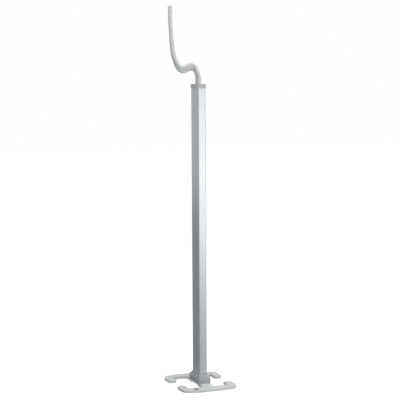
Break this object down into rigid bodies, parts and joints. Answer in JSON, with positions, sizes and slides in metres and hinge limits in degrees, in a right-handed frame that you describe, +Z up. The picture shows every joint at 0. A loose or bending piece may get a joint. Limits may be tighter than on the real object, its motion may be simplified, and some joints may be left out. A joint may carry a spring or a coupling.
{
  "type": "free-standing service pole",
  "caption": "Free-standing service pole: rectangular aluminium column with clip-in covers, moulded cap and plinth, curled feet and flexible conduits rising from the cap.",
  "frame": {"origin": "on the floor under the middle of the column", "axes": "+Z up, X across the column's narrow side, -Y is the front, with the conduits leaning towards -X"},
  "size_m": [0.4313, 0.5, 2.69],
  "materials": {
    "anodised_aluminium": "satin anodised, fine vertical grain",
    "grey_moulded": "moulded, slightly grained",
    "cap_moulded": "moulded, slightly grained, lighter than the plinth",
    "foot_coat": "light grey powder coat",
    "conduit_plastic": "light grey corrugated",
    "bright_metal": "bright nickel plate",
    "zinc_steel": "zinc plated",
    "glide_rubber": "matt",
    "clip_plastic": "moulded",
    "earth_brass": "plain"
  },
  "bodies": {
    "pole": {"left_side_profile": "anodised_aluminium", "right_side_profile": "anodised_aluminium", "centre_web": "anodised_aluminium", "front_divider": "clip_plastic", "rear_divider": "clip_plastic", "front_cable_clips": "clip_plastic", "rear_cable_clips": "clip_plastic", "earth_stud": "earth_brass", "earth_washer": "earth_brass", "earth_nut": "earth_brass", "base_plate": "foot_coat", "foot_screws": "zinc_steel", "column_screws": "zinc_steel", "front_foot": "foot_coat", "rear_foot": "foot_coat"},
    "front_cover": {"front_cover": "anodised_aluminium"},
    "rear_cover": {"rear_cover": "anodised_aluminium"},
    "cap": {"top_cap": "cap_moulded", "front_gland": "bright_metal", "front_ferrule": "bright_metal", "front_locknut": "zinc_steel", "front_conduit": "conduit_plastic", "front_end_bush": "conduit_plastic", "rear_gland": "bright_metal", "rear_ferrule": "bright_metal", "rear_locknut": "zinc_steel", "rear_conduit": "conduit_plastic", "rear_end_bush": "conduit_plastic"},
    "plinth": {"plinth_cover": "grey_moulded"},
    "glide_front_left": {"glide_pad_front_left": "glide_rubber", "glide_stud_front_left": "zinc_steel"},
    "glide_front_right": {"glide_pad_front_right": "glide_rubber", "glide_stud_front_right": "zinc_steel"},
    "glide_rear_left": {"glide_pad_rear_left": "glide_rubber", "glide_stud_rear_left": "zinc_steel"},
    "glide_rear_right": {"glide_pad_rear_right": "glide_rubber", "glide_stud_rear_right": "zinc_steel"}
  },
  "joints": [
    {"name": "plinth_lift", "type": "slide", "parent": "pole", "child": "plinth", "axis": [0, 0, 1], "range_m": [0, 0.15]},
    {"name": "front_cover_unclip", "type": "slide", "parent": "pole", "child": "front_cover", "axis": [0, -1, 0], "range_m": [0, 0.06]},
    {"name": "rear_cover_unclip", "type": "slide", "parent": "pole", "child": "rear_cover", "axis": [0, 1, 0], "range_m": [0, 0.06]},
    {"name": "cap_lift", "type": "slide", "parent": "pole", "child": "cap", "axis": [0, 0, 1], "range_m": [0, 0.06]},
    {"name": "glide_level_front_left", "type": "slide", "parent": "pole", "child": "glide_front_left", "axis": [0, 0, -1], "range_m": [0, 0.006]},
    {"name": "glide_level_front_right", "type": "slide", "parent": "pole", "child": "glide_front_right", "axis": [0, 0, -1], "range_m": [0, 0.006]},
    {"name": "glide_level_rear_left", "type": "slide", "parent": "pole", "child": "glide_rear_left", "axis": [0, 0, -1], "range_m": [0, 0.006]},
    {"name": "glide_level_rear_right", "type": "slide", "parent": "pole", "child": "glide_rear_right", "axis": [0, 0, -1], "range_m": [0, 0.006]}
  ]
}
